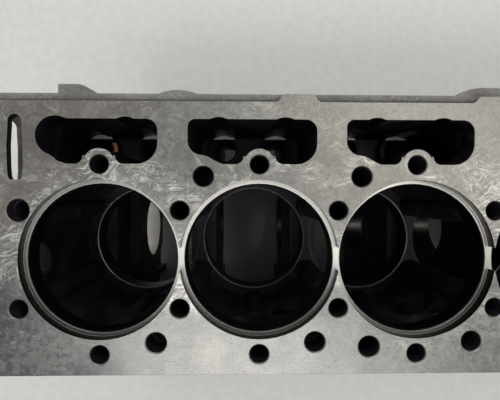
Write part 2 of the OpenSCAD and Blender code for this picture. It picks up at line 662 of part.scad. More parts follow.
module cylinder_block() {
    color([0.52, 0.52, 0.50]) difference() {
        casting_outside();
        bays();
        liner_seats();
        jacket();
        chambers();
        slot();
        oilways();
        deck_holes();
        end_holes();
        sump_holes();
        mount_holes();
        cooler_holes();
        core_holes();
    }
}
// Section of a cap: its register, the bolt seats beside the foot, and the foot
module cap_2d() {
    w = cap_w / 2;
    right = [[w, zc], [w, zc - 24], [w - 4, zc - 30], [w - 4, z_bolt], [w - 32, z_bolt], [w - 50, zc - cap_h]];
    polygon(concat(right, [for (k = [len(right) - 1 : -1 : 0]) [-right[k][0], right[k][1]]]));
}
module main_cap(i) {
    color([0.42, 0.42, 0.41]) difference() {
        along_x(main_x(i) - cap_t / 2, main_x(i) + cap_t / 2 + web(i)) cap_2d();
        rod_x(-half_l - eps, half_l + eps, 0, zc, main_bore_d);
        for (s = [-1, 1]) rod_z(-eps, zc + eps, cap_x(i), s * cap_bolt_gap / 2, cap_bolt_d + cap_bolt_play);
    }
}
module main_cap_1() main_cap(0);
module main_cap_2() main_cap(1);
module main_cap_3() main_cap(2);
module main_cap_4() main_cap(3);
module main_cap_5() main_cap(4);
module main_cap_6() main_cap(5);
module main_cap_7() main_cap(6);

module main_cap_bolts() {
    washer_t = 3;
    head_h = 12;
    bottom = 2;
    color([0.30, 0.30, 0.31]) for (i = [0 : cylinders], s = [-1, 1])
        translate([cap_x(i), s * cap_bolt_gap / 2, z_bolt]) {
            cylinder(d = cap_bolt_d, h = zc + cap_bolt_grip - bottom - z_bolt);
            translate([0, 0, -washer_t]) cylinder(d = cap_bolt_d * 1.75, h = washer_t);
            translate([0, 0, -washer_t - head_h]) cylinder(d = cap_bolt_d * 1.6, h = head_h + eps / 2, $fn = 6);
        }
}
module cam_bushing(i) {
    color([0.66, 0.55, 0.36]) difference() {
        rod_x(main_x(i) - bush_l / 2, main_x(i) + bush_l / 2, tappet_row, z_cam, cam_bore_d);
        rod_x(-half_l - eps, half_l + eps, tappet_row, z_cam, 2 * bush_r);
        cam_feed(i);
    }
}
module cam_bushing_1() cam_bushing(0);
module cam_bushing_2() cam_bushing(1);
module cam_bushing_3() cam_bushing(2);
module cam_bushing_4() cam_bushing(3);
module cam_bushing_5() cam_bushing(4);
module cam_bushing_6() cam_bushing(5);
module cam_bushing_7() cam_bushing(6);

// A pressed cup along Z, open at its foot
module cup(d, h) {
    difference() {
        cylinder(d = d, h = h);
        translate([0, 0, -eps]) cylinder(d = d - 2 * cup_t, h = h - cup_t + eps);
    }
}
module core_plugs() {
    color([0.72, 0.66, 0.48]) for (i = cored)
        translate([cyl_x(i) + core_offset, -wall_y - core_boss + cup_set, z_core])
            rotate([-90, 0, 0]) cup(core_hole_d, cup_h);
}
module cam_end_plug() {
    color([0.72, 0.66, 0.48]) translate([half_l - cup_set, tappet_row, z_cam])
        rotate([0, -90, 0]) cup(cam_bore_d, cup_end_h);
}
module gallery_plugs() {
    sunk = 1;
    socket_h = 7;
    color([0.35, 0.35, 0.36]) for (s = [-1, 1]) translate([s * (half_l - sunk), -gallery_y, z_gal])
        rotate([0, -s * 90, 0]) difference() {
            cylinder(d = gallery_d, h = gallery_plug_l);
            translate([0, 0, -eps]) cylinder(d = gallery_d / 2, h = socket_h + eps, $fn = 6);
        }
}
module dowel_pins(s) {
    tip = 1.5;
    color([0.6, 0.6, 0.6]) for (side = [-1, 1])
        translate([s * half_l, side * (rw - pin_side), pin_up]) rotate([0, s * 90, 0]) {
            translate([0, 0, -pin_in]) cylinder(d = pin_root_d, h = pin_in);
            cylinder(d = pin_d, h = pin_out - tip);
            translate([0, 0, pin_out - tip]) cylinder(d1 = pin_d, d2 = pin_d - 2 * tip, h = tip);
        }
}
module front_dowel_pins() dowel_pins(-1);
module rear_dowel_pins() dowel_pins(1);

cylinder_block();
main_cap_1();
main_cap_2();
main_cap_3();
main_cap_4();
main_cap_5();
main_cap_6();
main_cap_7();
main_cap_bolts();
cam_bushing_1();
cam_bushing_2();
cam_bushing_3();
cam_bushing_4();
cam_bushing_5();
cam_bushing_6();
cam_bushing_7();
core_plugs();
cam_end_plug();
gallery_plugs();
front_dowel_pins();
rear_dowel_pins();
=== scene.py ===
"""Dresses a bare six-cylinder diesel engine block: cast iron as it leaves the foundry, machined
joint faces and bores, oily spaces inside, and the small steel and bronze pieces fitted to it."""

import json
import math

import bmesh
import bpy
from bpy.props import FloatProperty, FloatVectorProperty, PointerProperty
from bpy.types import Operator, Panel, PropertyGroup
from mathutils import Matrix, Vector


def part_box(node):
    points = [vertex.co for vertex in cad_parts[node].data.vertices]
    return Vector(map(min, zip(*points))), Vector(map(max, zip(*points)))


bl_info = {
    "name": "Engine Block Dresser",
    "version": (1, 0, 0),
    "blender": (4, 5, 0),
    "location": "View3D > Sidebar > Engine Block",
    "description": "Cast, machined and oily finishes for a diesel engine block",
    "category": "Object",
}

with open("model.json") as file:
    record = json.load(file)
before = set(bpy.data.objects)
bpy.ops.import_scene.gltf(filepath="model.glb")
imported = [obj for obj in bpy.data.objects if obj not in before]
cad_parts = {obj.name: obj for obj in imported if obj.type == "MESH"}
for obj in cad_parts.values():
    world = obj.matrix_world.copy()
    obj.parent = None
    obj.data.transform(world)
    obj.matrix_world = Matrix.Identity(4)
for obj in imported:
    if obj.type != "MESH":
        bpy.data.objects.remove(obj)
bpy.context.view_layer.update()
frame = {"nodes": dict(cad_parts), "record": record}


# ---- sizes taken from the frame ------------------------------------------------------

MOUNTS = {mount["name"]: mount for mount in frame["record"]["mounts"]}
OPENINGS = {opening["name"]: opening["box_m"] for opening in frame["record"]["physics"]["openings"]}

BLOCK_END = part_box("cylinder_block")[1]
HALF_LENGTH, DECK = BLOCK_END.x, BLOCK_END.z
ABREAST = MOUNTS["head_bolts_abreast_3_4"]["dims"]
PITCH = ABREAST["spacing_x_mm"] / 1000
BOLT_HOLE = ABREAST["hole_r_mm"] / 1000
BOLT_ABREAST = ABREAST["spacing_y_mm"] / 2000
BOLT_BETWEEN = MOUNTS["head_bolts_between_3_5"]["dims"]["spacing_y_mm"] / 2000
PAD_Y = -MOUNTS["engine_mount_plain_side"]["pos_m"][1]
COOLER_Y = -MOUNTS["oil_cooler_pad"]["pos_m"][1]

CAP_LOW, CAP_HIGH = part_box("main_cap_1")
FIRST_CAP_END, CAP_HALF_WIDTH, CRANK_HEIGHT = CAP_HIGH
CAM_LOW, CAM_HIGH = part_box("cam_bushing_1")
CAM_Y, CAM_Z = (CAM_LOW.y + CAM_HIGH.y) / 2, (CAM_LOW.z + CAM_HIGH.z) / 2
CAM_BORE = (CAM_HIGH.z - CAM_LOW.z) / 2
PLUG_LOW, PLUG_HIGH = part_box("core_plugs")
PLUG_RADIUS, PLUG_Z = (PLUG_HIGH.z - PLUG_LOW.z) / 2, (PLUG_HIGH.z + PLUG_LOW.z) / 2
INLET_LOW, INLET_HIGH = (Vector(corner) for corner in OPENINGS["coolant_inlet"])
INLET_Y, INLET_Z = (INLET_LOW.y + INLET_HIGH.y) / 2, (INLET_LOW.z + INLET_HIGH.z) / 2
INLET_RADIUS = (INLET_HIGH.y - INLET_LOW.y) / 2
SLOT_LOW, SLOT_HIGH = (corner[1] for corner in OPENINGS["drain_slot"])

# halfway through the side walls, as (height, distance from the cylinder line)
PLAIN_WALL = (
    (0.0, 0.155), (0.095, 0.155), (0.155, 0.147), (0.21, 0.125), (0.223, 0.107),
    (0.239, 0.095), (0.261, 0.082), (0.285, 0.0805), (0.46, 0.0805),
)
CAM_WALL = (
    (0.0, 0.155), (0.095, 0.155), (0.145, 0.149), (0.211, 0.142),
    (0.275, 0.14), (0.29, 0.137), (0.312, 0.127), (0.46, 0.127),
)
JACKET_FOOT = 0.285     # below this height the space inside reaches the walls
FRONT_END = -0.4        # what lies before it is the drain slot and the coolant inlet
BAND_FOOT = 0.1396      # just inside the cast band beside the deck
THREAD_PITCH = 0.002
EDGE_CUT = 0.00105      # depth of the bevels round the deck's holes

# how far off a point still counts as on a flat face, on a bored wall or in a drilled hole
THIN, WALL, HOLE = 0.0003, 0.0012, 0.0006


def length(label, description, default):
    return FloatProperty(name=label, description=description, default=default, unit="LENGTH")


def paint(label, description, default):
    return FloatVectorProperty(
        name=label, description=description, subtype="COLOR", default=default, min=0, max=1
    )


class BlockSizes(PropertyGroup):
    seat_radius: length("Seat radius", "Radius of the flange recess of a liner", 0.0689)
    seat_depth: length("Seat depth", "Depth of the flange recess below the deck", 0.0089)
    pilot_radius: length("Pilot radius", "Radius of the upper liner pilot", 0.065)
    lower_radius: length("Lower pilot radius", "Radius of the lower liner pilot", 0.0645)
    lower_end: length("Lower pilot end", "Depth of the lower edge of the lower pilot", 0.191)
    jacket_radius: length("Jacket radius", "Radius that takes in the wall of the water jacket", 0.0835)
    jacket_roof: length("Jacket roof", "Depth of the roof of the water jacket", 0.027)
    jacket_floor: length("Jacket floor", "Depth of the floor of the water jacket", 0.163)
    chamber_near: length("Chamber near", "Distance of a pushrod chamber from the cylinder line", 0.079)
    tappet_face: length("Tappet faces", "Depth of the tappet boss faces below the deck", 0.1)
    tappet_near: length("Tappet near", "Distance of the near rim of the tappet faces", 0.085)
    tappet_far: length("Tappet far", "Distance of the far rim of the tappet faces", 0.1235)
    tappet_before: length("Tappet before", "Distance of a tappet before its cylinder axis", 0.0352)
    tappet_after: length("Tappet after", "Distance of a tappet after its cylinder axis", 0.0224)
    tappet_bore: length("Tappet bore", "Radius of a tappet bore with its edge", 0.0132)
    cutter: length("Tappet cutter", "Radius of the cutter that faced the tappet bosses", 0.0163)
    main_bore: length("Main bore", "Radius of the main bearing bores", 0.0525)
    main_web: length("Main web", "Half the width of a bulkhead at its main bearing", 0.0172)
    hole_depth: length("Hole depth", "Depth of the oily part of the deck's holes", 0.11)
    slot_depth: length("Slot depth", "Depth of the oily part of the drain slot", 0.052)
    dowel_recess: length("Dowel recess", "Radius of a ring dowel recess", 0.0096)
    coolant_hole: length("Coolant hole", "Radius of a coolant hole", 0.0092)
    coolant_along: length("Coolant along", "Distance of a coolant hole along from its cylinder", 0.0483)
    coolant_aside: length("Coolant aside", "Distance of a coolant hole aside from its cylinder", 0.0716)
    feed_x: length("Oil feed along", "Place of the oil feed hole along the block", -0.1103)
    feed_y: length("Oil feed across", "Place of the oil feed hole across the block", -0.0759)
    edge: length("Cast edge", "Radius that rounds the cast edges", 0.0028)
    cut_edge: length("Cut edge", "Radius that rounds the machined edges", 0.0005)


class BlockColours(PropertyGroup):
    cast: paint("Cast iron", "Rough cast surface", (0.138, 0.133, 0.126))
    rust: paint("Light rust", "Brown patches on the cast surface", (0.100, 0.078, 0.060))
    milled: paint("Milled iron", "Machined surface", (0.226, 0.220, 0.203))
    tan: paint("Coolant tan", "Tint of the deck's front corner", (0.175, 0.152, 0.126))
    stain: paint("Stain", "Oil stains on the machined faces", (0.092, 0.090, 0.096))
    oil: paint("Oily iron", "Inside of the block", (0.040, 0.030, 0.042))
    bored: paint("Bored iron", "Dull walls of the liner seats", (0.048, 0.038, 0.040))
    orange: paint("Fresh rust", "Rust on the first tappet boss", (0.62, 0.27, 0.11))
    cap: paint("Cap iron", "Main bearing caps", (0.075, 0.073, 0.072))
    black: paint("Black oxide", "Cap bolts", (0.022, 0.022, 0.025))
    bearing: paint("Bearing metal", "Cam bushings", (0.52, 0.38, 0.20))
    zinc: paint("Zinc plate", "Pressed plugs", (0.56, 0.50, 0.36))
    steel: paint("Ground steel", "Dowels", (0.56, 0.56, 0.56))
    floor: paint("Floor", "Pale studio floor", (0.62, 0.61, 0.585))


def power(label, description, default):
    return FloatProperty(name=label, description=description, default=default, unit="POWER")


class StudioLight(PropertyGroup):
    key_power: power("Key power", "Lamp whose reflection lies on the deck", 14.4)
    fill_power: power("Fill power", "Broad warm lamp over the flywheel end", 9.2)
    back_power: power("Back power", "Lamp on the floor behind the block", 9)
    surround: FloatProperty(
        name="Surround", description="Strength of the even light all round", default=0.58, min=0
    )


# ---- shader wiring -------------------------------------------------------------------


class Wiring:
    """Adds nodes to one tree and links them; a value may be a socket or a number."""

    def __init__(self, tree):
        self.tree = tree

    def add(self, kind, label="", **settings):
        node = self.tree.nodes.new(kind)
        node.label = label
        for key, value in settings.items():
            setattr(node, key, value)
        return node

    def put(self, socket, value):
        if isinstance(value, bpy.types.NodeSocket):
            self.tree.links.new(value, socket)
        elif value is not None:
            socket.default_value = value

    def fill(self, node, **values):
        """Puts values into the sockets of the same names, with _ for a space."""
        for name, value in values.items():
            self.put(node.inputs[name.replace("_", " ")], value)
        return node.outputs

    def math(self, operation, a, b=None, c=None, clamp=False):
        node = self.add("ShaderNodeMath", operation=operation, use_clamp=clamp)
        for socket, value in zip(node.inputs, (a, b, c)):
            self.put(socket, value)
        return node.outputs[0]

    def vector(self, operation, a, b, out="Vector"):
        node = self.add("ShaderNodeVectorMath", operation=operation)
        self.put(node.inputs[0], a)
        self.put(node.inputs["Scale"] if operation == "SCALE" else node.inputs[1], b)
        return node.outputs[out]

    def joined(self, operation, values):
        result = values[0]
        for value in values[1:]:
            result = self.math(operation, result, value)
        return result

    def total(self, *values):
        return self.joined("ADD", values)

    def all_of(self, *values):
        return self.joined("MULTIPLY", values)

    def any_of(self, *values):
        return self.joined("MAXIMUM", values)

    def no(self, value):
        return self.math("SUBTRACT", 1.0, value, clamp=True)

    def above(self, value, limit):
        return self.math("GREATER_THAN", value, limit)

    def below(self, value, limit):
        return self.math("LESS_THAN", value, limit)

    def between(self, value, low, high):
        return self.all_of(self.above(value, low), self.below(value, high))

    def minus(self, a, b):
        return self.math("SUBTRACT", a, b)

    def size(self, value):
        return self.math("ABSOLUTE", value)

    def reach(self, a, b):
        """Length of the vector (a, b)."""
        return self.math("SQRT", self.total(self.all_of(a, a), self.all_of(b, b)))

    def off_nearest(self, value, pitch, start=0.0):
        """Distance, with its sign, from the nearest of the lines that stand a pitch apart."""
        turn = self.math("FRACT", self.total(self.math("DIVIDE", self.minus(value, start), pitch), 0.5))
        return self.all_of(self.minus(turn, 0.5), pitch)

    def spread(self, value, low, high, to_low=0.0, to_high=1.0, smooth=True):
        node = self.add("ShaderNodeMapRange", interpolation_type="SMOOTHSTEP" if smooth else "LINEAR")
        self.fill(node, Value=value, From_Min=low, From_Max=high, To_Min=to_low, To_Max=to_high)
        return node.outputs["Result"]

    def noise(self, place, scale, detail=4.0, rough=0.55, twist=0.0, label="", out="Fac"):
        node = self.add("ShaderNodeTexNoise", label)
        self.fill(node, Vector=place, Scale=scale, Detail=detail, Roughness=rough, Distortion=twist)
        return node.outputs[out]

    def cells(self, place, scale, out="Distance"):
        node = self.add("ShaderNodeTexVoronoi", feature="F1")
        return self.fill(node, Vector=place, Scale=scale)[out]

    def mapped(self, place, turn=(0, 0, 0), scale=(1, 1, 1)):
        node = self.add("ShaderNodeMapping")
        return self.fill(node, Vector=place, Rotation=turn, Scale=scale)["Vector"]

    def split(self, vector):
        node = self.add("ShaderNodeSeparateXYZ")
        self.put(node.inputs[0], vector)
        return node.outputs

    def colour(self, amount, a, b, blend="MIX", label=""):
        node = self.add("ShaderNodeMix", label, data_type="RGBA", blend_type=blend, clamp_factor=True)
        self.put(node.inputs["Factor"], amount)
        for socket, value in ((node.inputs[6], a), (node.inputs[7], b)):
            plain = isinstance(value, tuple) and len(value) == 3
            self.put(socket, (*value, 1.0) if plain else value)
        return node.outputs[2]

    def number(self, amount, a, b):
        node = self.add("ShaderNodeMix", data_type="FLOAT", clamp_factor=True)
        return self.fill(node, Factor=amount, A=a, B=b)["Result"]

    def curve(self, value, points):
        """A value read off straight lines between points (place, result), with results from 0 to 1."""
        low, high = points[0][0], points[-1][0]
        ramp = self.add("ShaderNodeValToRGB")
        self.put(ramp.inputs["Fac"], self.spread(value, low, high, smooth=False))
        stops = ramp.color_ramp.elements
        while len(stops) < len(points):
            stops.new(0.5)
        for stop, (place, result) in zip(stops, points):
            stop.position = (place - low) / (high - low)
        for stop, (place, result) in zip(stops, points):
            stop.color = (result, result, result, 1.0)
        return ramp.outputs["Color"]

    def bump(self, height, strength, distance, normal):
        node = self.add("ShaderNodeBump")
        return self.fill(node, Height=height, Strength=strength, Distance=distance, Normal=normal)["Normal"]

    def group(self, tree, **values):
        return self.fill(self.add("ShaderNodeGroup", node_tree=tree), **values)


def new_group(name, inputs, outputs):
    """An empty node group with the named sockets: (tree, wiring, input sockets, output node)."""
    tree = bpy.data.node_groups.new(name, "ShaderNodeTree")
    for label, kind, default in inputs:
        socket = tree.interface.new_socket(label, in_out="INPUT", socket_type="NodeSocket" + kind)
        if default is not None:
            socket.default_value = default
    for label, kind in outputs:
        tree.interface.new_socket(label, in_out="OUTPUT", socket_type="NodeSocket" + kind)
    wiring = Wiring(tree)
    return tree, wiring, wiring.add("NodeGroupInput").outputs, wiring.add("NodeGroupOutput")


def shared(name, build):
    """A node group built on its first use and kept."""
    return bpy.data.node_groups.get(name) or build(name)


def edge_wear_and_highlight(name):
    """How far a point lies on an edge, and the normal that rounds it."""
    tree, w, given, out = new_group(
        name,
        [("Radius", "Float", 0.001), ("Contrast", "Float", 6.0)],
        [("Edge", "Float"), ("Rounded", "Vector")],
    )
    rounded = w.fill(w.add("ShaderNodeBevel", samples=4), Radius=given["Radius"])["Normal"]
    flat = w.add("ShaderNodeNewGeometry").outputs["Normal"]
    bent = w.no(w.vector("DOT_PRODUCT", rounded, flat, "Value"))
    w.put(out.inputs["Edge"], w.math("MULTIPLY", bent, given["Contrast"], clamp=True))
    w.put(out.inputs["Rounded"], rounded)
    return tree


def cast_skin(name):
    """The grain that moulding sand leaves on iron."""
    tree, w, given, out = new_group(
        name,
        [("Place", "Vector", None), ("Size", "Float", 1.0)],
        [(label, "Float") for label in ("Height", "Tone", "Pores", "Dust")],
    )
    place, size = given["Place"], given["Size"]
    sand = w.noise(place, w.math("DIVIDE", 950.0, size), 5.0, 0.62, label="sand grain")
    mould = w.noise(place, w.math("DIVIDE", 210.0, size), 4.0, 0.55, label="mould texture")
    waves = w.noise(place, w.math("DIVIDE", 26.0, size), 3.0, 0.5, label="casting waves")
    pores = w.spread(w.cells(place, w.math("DIVIDE", 330.0, size)), 0.10, 0.24, 1.0, 0.0)
    pores = w.all_of(pores, w.spread(mould, 0.5, 0.62))
    flecks = w.spread(w.noise(place, 520.0, 4.0, 0.7), 0.54, 0.64)
    dusty = w.spread(w.noise(place, 31.0, 3.0, 0.5), 0.42, 0.60)
    parts = (w.all_of(sand, 0.45), w.all_of(mould, 0.8), w.all_of(waves, 0.7), w.all_of(pores, -0.5))
    w.put(out.inputs["Height"], w.total(*parts))
    w.put(out.inputs["Tone"], w.total(w.all_of(sand, 0.3), w.all_of(mould, 0.3), w.all_of(waves, 0.4)))
    w.put(out.inputs["Pores"], pores)
    w.put(out.inputs["Dust"], w.all_of(flecks, dusty))
    return tree


def drifted(w, place, scale, amount):
    """The place moved about by a noise, which bends whatever pattern is laid on it."""
    return w.vector("ADD", place, w.vector("SCALE", w.noise(place, scale, 2.0, 0.5, out="Color"), amount))


def rag_strokes(w, place):
    """Short strokes whose way changes from patch to patch."""
    strokes = []
    for scale, fine in ((40.0, 95.0), (75.0, 200.0)):
        patch = w.add("ShaderNodeTexVoronoi", feature="F1")
        w.fill(patch, Vector=place, Scale=scale)
        angle = w.all_of(w.split(patch.outputs["Color"])[0], 2 * math.pi)
        turned = w.fill(w.add("ShaderNodeVectorRotate", rotation_type="Z_AXIS"), Vector=place, Angle=angle)
        grain = w.noise(w.mapped(turned[0], scale=(fine, fine * 8, fine)), 1.0, 3.0, 0.6, 0.4)
        fade = w.spread(patch.outputs["Distance"], 0.25, 0.62, 1.0, 0.0)
        strokes.append(w.all_of(w.spread(grain, 0.54, 0.61), fade))
    return w.any_of(*strokes)


def rag_sweeps(w, place):
    """Long sweeps of the rag, mostly along the block."""
    swept = drifted(w, place, 24.0, 0.07)
    sweeps = []
    for turn, along, across in ((0.15, 30.0, 260.0), (-0.35, 55.0, 480.0)):
        grain = w.noise(w.mapped(swept, (0, 0, turn), (along, across, along)), 1.0, 4.0, 0.62, 0.3)
        sweeps.append(w.spread(grain, 0.53, 0.61))
    return w.all_of(w.any_of(*sweeps), w.spread(w.noise(place, 34.0, 3.0), 0.44, 0.56))


def rag_curls(w, bent, place):
    """Thin broken lines that a drying film leaves."""
    curls = []
    for scale, fine in ((38.0, 0.012), (70.0, 0.018)):
        cloud = w.noise(bent, scale, 1.5, 0.5, 1.2)
        curls.append(w.spread(w.size(w.minus(cloud, 0.5)), 0.0, fine, 1.0, 0.0))
    return w.all_of(w.any_of(*curls), w.spread(w.noise(place, 88.0, 2.0), 0.50, 0.58))


def thin_scratches(w, place):
    marks = []
    for turn, along, gate in ((0.06, 9.0, 0.70), (-0.9, 13.0, 0.69), (1.9, 11.0, 0.70)):
        grain = w.noise(w.mapped(place, (0, 0, turn), (along, 760.0, 300.0)), 1.0, 2.0, 0.5)
        marks.append(w.spread(grain, gate, gate + 0.04))
    return w.all_of(w.any_of(*marks), w.spread(w.noise(place, 17.0, 2.0), 0.48, 0.62))


def handling_marks(name):
    """What storage and wiping leave on a machined face, and the glitter that the cutter left on it."""
    labels = ("Wipes", "Scratches", "Pits", "Blotches", "Mottle", "Grain")
    tree, w, given, out = new_group(name, [("Place", "Vector", None)], [(label, "Float") for label in labels])
    place = given["Place"]
    bent = drifted(w, place, 55.0, 0.03)
    smear = w.spread(w.noise(bent, 70.0, 4.0, 0.6, 0.8), 0.54, 0.64)
    curls = w.all_of(rag_curls(w, bent, place), 0.8)
    wipes = w.any_of(rag_strokes(w, bent), rag_sweeps(w, place), curls, w.all_of(smear, 0.35))
    wiped = w.spread(w.noise(place, 21.0, 3.0), 0.40, 0.60)
    pits = w.spread(w.cells(place, 340.0), 0.06, 0.16, 1.0, 0.0)
    pitted = w.spread(w.noise(place, 24.0, 3.0), 0.52, 0.66)
    broad = w.spread(w.noise(place, 6.5, 4.0, 0.6, 0.4), 0.45, 0.68)
    ragged = w.spread(w.noise(place, 36.0, 5.0, 0.65), 0.36, 0.6)
    clouds, grit = w.noise(place, 16.0, 5.0, 0.6), w.noise(place, 190.0, 5.0, 0.68)
    w.put(out.inputs["Wipes"], w.all_of(wipes, wiped))
    w.put(out.inputs["Scratches"], thin_scratches(w, place))
    w.put(out.inputs["Pits"], w.all_of(pits, pitted))
    w.put(out.inputs["Blotches"], w.all_of(broad, ragged))
    w.put(out.inputs["Mottle"], w.total(w.all_of(clouds, 0.4), w.all_of(grit, 0.6)))
    w.put(out.inputs["Grain"], w.noise(place, 640.0, 2.5, 0.7))
    return tree


def cutter_arcs(name):
    """The faint arcs of a wide face mill that went along X."""
    tree, w, given, out = new_group(
        name,
        [("Place", "Vector", None), ("Radius", "Float", 0.17), ("Feed", "Float", 0.0021)],
        [("Height", "Float")],
    )
    x, y, _ = w.split(given["Place"])
    radius = given["Radius"]
    square = w.minus(w.all_of(radius, radius), w.all_of(y, y))
    lag = w.math("SQRT", w.math("MAXIMUM", square, 0.0))
    phase = w.math("DIVIDE", w.minus(x, lag), given["Feed"])
    wave = w.math("SINE", w.all_of(phase, 2 * math.pi))
    w.put(out.inputs["Height"], w.all_of(wave, w.noise(given["Place"], 30.0, 2.0)))
    return tree


def new_material(name):
    """A material with a principled surface: (material, wiring, shader node, object place)."""
    material = bpy.data.materials.new(name)
    material.use_nodes = True
    wiring = Wiring(material.node_tree)
    shader = material.node_tree.nodes["Principled BSDF"]
    place = wiring.add("ShaderNodeTexCoord").outputs["Object"]
    return material, wiring, shader, place


def dress(node, material):
    """Gives a CAD node its finish."""
    piece = frame["nodes"][node]
    piece.data.materials.clear()
    piece.data.materials.append(material)


# ---- the casting ---------------------------------------------------------------------


class Surface:
    """The block's surface: where a point of it lies, how far from the nearest axes, how it was made
    and the patterns that its finishes share."""

    def __init__(self, w, place, sizes):
        self.place = place
        self.x, self.y, self.z = w.split(place)
        self.up = w.split(w.add("ShaderNodeNewGeometry").outputs["True Normal"])[2]
        self.side = w.size(self.y)
        self.off_cylinder = w.off_nearest(self.x, PITCH, PITCH / 2)
        self.off_bearing = w.off_nearest(self.x, PITCH)
        self.bore = w.reach(self.off_cylinder, self.y)
        self.crank = w.reach(self.y, w.minus(self.z, CRANK_HEIGHT))
        from_row = w.minus(self.y, CAM_Y)
        self.cam = w.reach(from_row, w.minus(self.z, CAM_Z))
        before = w.reach(w.total(self.off_cylinder, sizes.tappet_before), from_row)
        after = w.reach(w.minus(self.off_cylinder, sizes.tappet_after), from_row)
        self.tappet = w.math("MINIMUM", before, after)
        self.zones = block_zones(w, self, sizes)
        self.skin = w.group(shared("Cast Skin", cast_skin), Place=place, Size=1.0)
        self.marks = w.group(shared("Handling Marks", handling_marks), Place=place)
        rounding = w.number(self.zones["rough"], sizes.cut_edge, sizes.edge)
        self.edges = w.group(shared("Edge Wear And Highlight", edge_wear_and_highlight), Radius=rounding, Contrast=3.5)
        self.film = w.noise(place, 23.0, 5.0, 0.6, 0.8, label="oil film")
        # painted highlight: the far rim of each tappet face is painted bright where light falls on it, and
        # has no oil
        self.rim = w.all_of(w.spread(self.y, 0.1180, 0.1188), w.spread(self.film, 0.3, 0.5))


def joint_faces(w, at):
    """The deck, and all the flat joint faces with it."""
    deck = w.above(at.z, DECK - THIN)
    ends = w.above(w.size(at.x), HALF_LENGTH - THIN)
    rail = w.below(at.z, THIN)
    pads = w.any_of(w.above(at.side, PAD_Y - THIN), w.between(at.y, -COOLER_Y - THIN, -COOLER_Y + THIN))
    pads = w.all_of(pads, w.below(w.size(at.up), 0.5))
    register = w.all_of(w.below(at.side, CAP_HALF_WIDTH + THIN), w.below(at.z, CRANK_HEIGHT + THIN))
    return {"deck": deck, "face": w.any_of(deck, ends, rail, pads, register)}


def bored_places(w, at, sizes):
    """Liner seats and their walls, main bearings and camshaft bores."""
    seat_z, floor_z = DECK - sizes.seat_depth, DECK - sizes.jacket_floor
    on_seat = w.between(at.z, seat_z - THIN, seat_z + THIN)
    recess = w.all_of(w.above(at.z, seat_z), w.below(at.bore, sizes.seat_radius + THIN))
    pilot = w.between(at.z, DECK - sizes.jacket_roof - THIN, seat_z)
    pilot = w.all_of(pilot, w.below(at.bore, sizes.pilot_radius + WALL))
    lower = w.between(at.z, DECK - sizes.lower_end - 0.002, floor_z + THIN)
    lower = w.all_of(lower, w.below(at.bore, sizes.lower_radius + WALL))
    web = w.any_of(w.below(w.size(at.off_bearing), sizes.main_web), w.below(at.x, FIRST_CAP_END + 0.003))
    lip = w.between(at.bore, sizes.lower_radius - 0.001, sizes.lower_radius + 0.002)
    return {
        "seat": w.all_of(on_seat, w.below(at.bore, sizes.seat_radius + 0.001)),
        "bored": w.any_of(recess, pilot, lower, w.between(at.cam, CAM_BORE - 0.001, CAM_BORE + WALL)),
        "mains": w.all_of(w.between(at.crank, sizes.main_bore - 0.001, sizes.main_bore + 0.0008), web),
        "lip": w.all_of(lip, w.between(at.z, floor_z - WALL, floor_z - 0.0001), w.above(at.up, 0.3)),
    }


def drilled_places(w, at, sizes):
    """Bolt, coolant, oil feed and tappet holes and the drain slot, all dark with oil."""
    aside = w.minus(at.side, sizes.coolant_aside)
    along = w.minus(w.size(at.off_cylinder), sizes.coolant_along)
    crosswise = w.below(w.all_of(at.off_cylinder, at.y), 0.0)
    feed = w.reach(w.minus(at.x, sizes.feed_x), w.minus(at.y, sizes.feed_y))
    holes = w.any_of(
        w.below(w.reach(at.off_cylinder, w.minus(at.side, BOLT_ABREAST)), BOLT_HOLE + HOLE),
        w.below(w.reach(at.off_bearing, w.minus(at.side, BOLT_BETWEEN)), sizes.dowel_recess + HOLE),
        w.all_of(w.below(w.reach(along, aside), sizes.coolant_hole + HOLE), crosswise),
        w.below(feed, sizes.coolant_hole + HOLE),
    )
    depth = w.between(at.z, DECK - sizes.hole_depth, DECK - EDGE_CUT)
    slot = w.all_of(w.below(at.x, FRONT_END), w.between(at.y, SLOT_LOW - 0.01, SLOT_HIGH + 0.01))
    slot = w.all_of(slot, w.between(at.z, DECK - sizes.slot_depth, DECK - THIN))
    tappets = w.between(at.z, CAM_Z, DECK - sizes.tappet_face - THIN)
    tappets = w.all_of(tappets, w.below(at.tappet, sizes.tappet_bore))
    return w.any_of(w.all_of(holes, depth, w.below(at.up, 0.5)), slot, tappets)


def inner_places(w, at, sizes):
    """The spaces inside the walls, and the pushrod chambers and the water jacket among them."""
    clear_of_plain = w.above(w.total(at.y, w.curve(at.z, PLAIN_WALL)), 0.0)
    clear_of_cam = w.above(w.minus(w.curve(at.z, CAM_WALL), at.y), 0.0)
    lengthwise = w.below(w.size(at.x), HALF_LENGTH - 0.001)
    within = w.all_of(clear_of_plain, clear_of_cam, lengthwise, w.below(at.z, DECK - EDGE_CUT))
    core = w.reach(w.off_nearest(at.x, PITCH, PLUG_LOW.x + PLUG_RADIUS), w.minus(at.z, PLUG_Z))
    core = w.all_of(w.below(core, PLUG_RADIUS + HOLE), w.above(at.y, PLUG_LOW.y))
    inlet = w.reach(w.minus(at.y, INLET_Y), w.minus(at.z, INLET_Z))
    inlet = w.all_of(w.below(inlet, INLET_RADIUS + 0.0015), w.below(at.x, FRONT_END))
    jacket = w.below(at.bore, sizes.jacket_radius)
    near = w.any_of(w.below(at.z, JACKET_FOOT), jacket, w.above(at.y, 0.0), core, inlet)
    depth = w.between(at.z, DECK - sizes.jacket_floor - 0.001, DECK - sizes.jacket_roof)
    over_tappets = w.above(at.z, DECK - sizes.tappet_face - 0.002)
    return {
        "inside": w.all_of(within, near),
        "jacket": w.all_of(within, jacket, depth),
        "chamber": w.all_of(within, w.above(at.y, sizes.chamber_near), over_tappets),
    }


